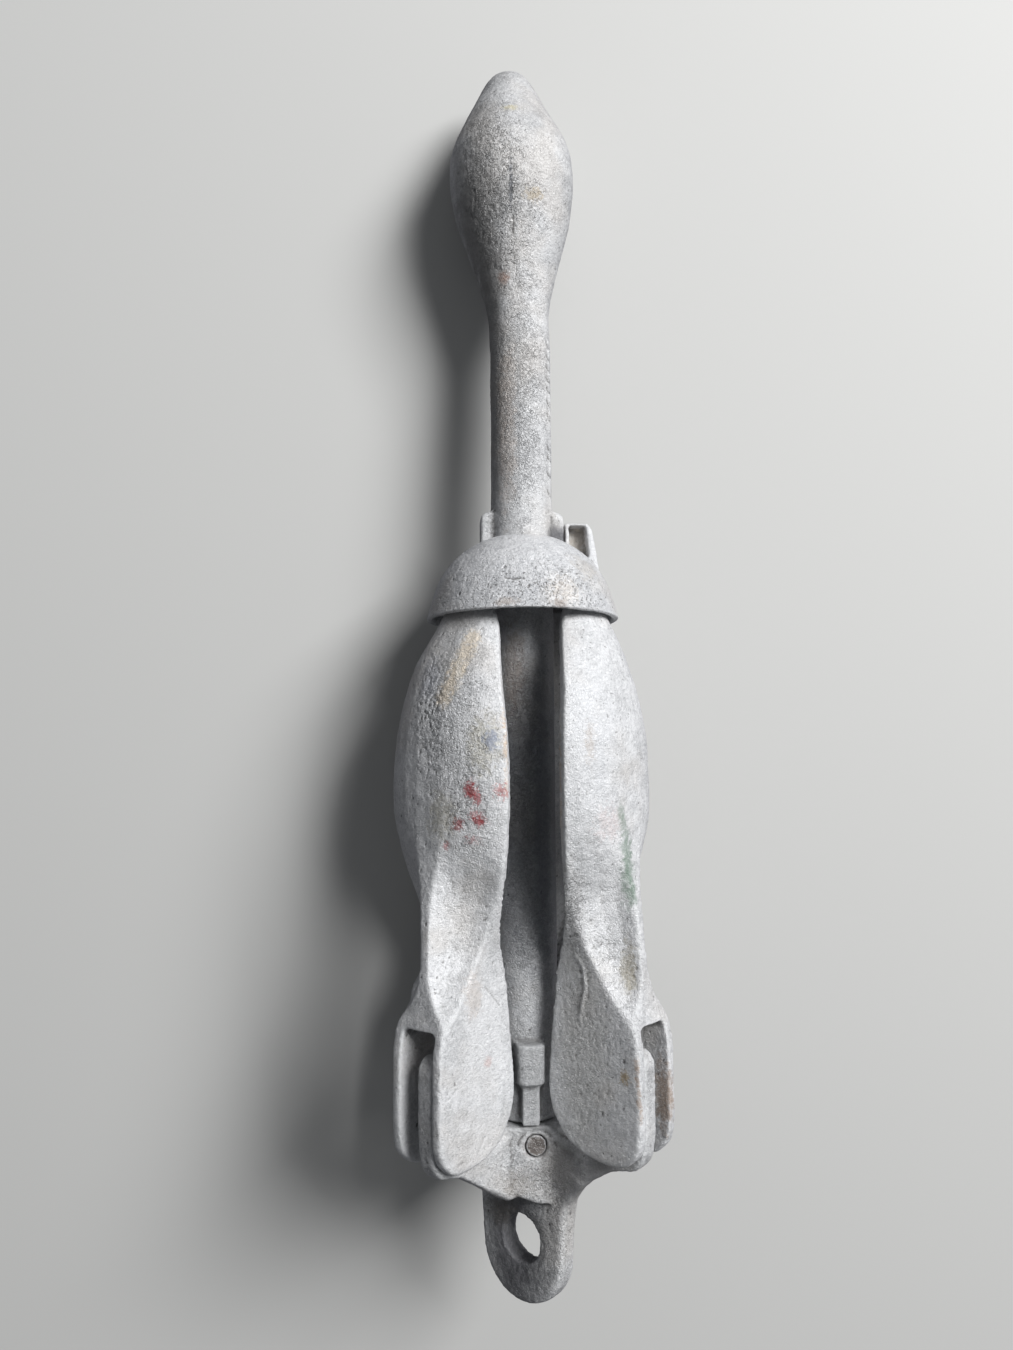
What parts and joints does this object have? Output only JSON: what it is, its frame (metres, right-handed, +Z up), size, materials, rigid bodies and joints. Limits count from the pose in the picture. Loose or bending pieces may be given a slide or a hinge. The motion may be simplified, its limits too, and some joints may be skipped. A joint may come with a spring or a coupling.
{
  "type": "folding grapnel anchor",
  "caption": "Folded grapnel anchor: pear-headed shank, sliding cup collar over the tips of hinged petal flukes, and a crown with an eye. Weathered galvanised iron.",
  "frame": {"origin": "centre of the footprint on the ground that the anchor lies on", "axes": "+Y along the anchor's length towards the pear-shaped head, +Z up away from the ground, +X to the right seen from above with the head away from the viewer; the shank leans 5.51 degrees down towards the head"},
  "size_m": [0.0828, 0.3959, 0.0868],
  "materials": {
    "galvanised_shank": "hot-dip galvanised casting, matt weathered grey with pits, stains and scuffs",
    "galvanised_crown": "hot-dip galvanised casting, matt weathered grey with pits, stains and scuffs",
    "galvanised_collar": "hot-dip galvanised casting, matt weathered grey with pits, stains and scuffs",
    "galvanised_fluke": "hot-dip galvanised casting, matt weathered grey with pits, stains and scuffs",
    "galvanised_pin": "flush pin, galvanised over with the fluke",
    "rusted_crown_pin": "rusted end, bare iron"
  },
  "bodies": {
    "shank_and_crown": {"shank": "galvanised_shank", "crown": "galvanised_crown", "crown_pin": "rusted_crown_pin"},
    "collar": {"collar": "galvanised_collar"},
    "fluke_upper_right": {"fluke_upper_right": "galvanised_fluke", "fluke_pin_upper_right": "galvanised_pin"},
    "fluke_upper_left": {"fluke_upper_left": "galvanised_fluke", "fluke_pin_upper_left": "galvanised_pin"},
    "fluke_lower_left": {"fluke_lower_left": "galvanised_fluke", "fluke_pin_lower_left": "galvanised_pin"},
    "fluke_lower_right": {"fluke_lower_right": "galvanised_fluke", "fluke_pin_lower_right": "galvanised_pin"}
  },
  "joints": [
    {"name": "collar_slide", "type": "slide", "parent": "shank_and_crown", "child": "collar", "axis": [0, 0.9954, -0.096], "range_m": [0, 0.068]},
    {"name": "fluke_upper_right_hinge", "type": "hinge", "parent": "shank_and_crown", "child": "fluke_upper_right", "pos_m": [0.02312, -0.1278, 0.07201], "axis": [0.7071, -0.0679, -0.7038], "range_deg": [0, 90]},
    {"name": "fluke_upper_left_hinge", "type": "hinge", "parent": "shank_and_crown", "child": "fluke_upper_left", "pos_m": [-0.02312, -0.1278, 0.07201], "axis": [0.7071, 0.0679, 0.7038], "range_deg": [0, 90]},
    {"name": "fluke_lower_left_hinge", "type": "hinge", "parent": "shank_and_crown", "child": "fluke_lower_left", "pos_m": [-0.02312, -0.13224, 0.02598], "axis": [-0.7071, 0.0679, 0.7038], "range_deg": [0, 90]},
    {"name": "fluke_lower_right_hinge", "type": "hinge", "parent": "shank_and_crown", "child": "fluke_lower_right", "pos_m": [0.02312, -0.13224, 0.02598], "axis": [-0.7071, -0.0679, -0.7038], "range_deg": [0, 90]}
  ],
  "couplings": [
    {"joint": "fluke_upper_right_hinge", "follows": "collar_slide", "rad_per_m": 23.099},
    {"joint": "fluke_upper_left_hinge", "follows": "collar_slide", "rad_per_m": 23.099},
    {"joint": "fluke_lower_left_hinge", "follows": "collar_slide", "rad_per_m": 23.099},
    {"joint": "fluke_lower_right_hinge", "follows": "collar_slide", "rad_per_m": 23.099}
  ]
}
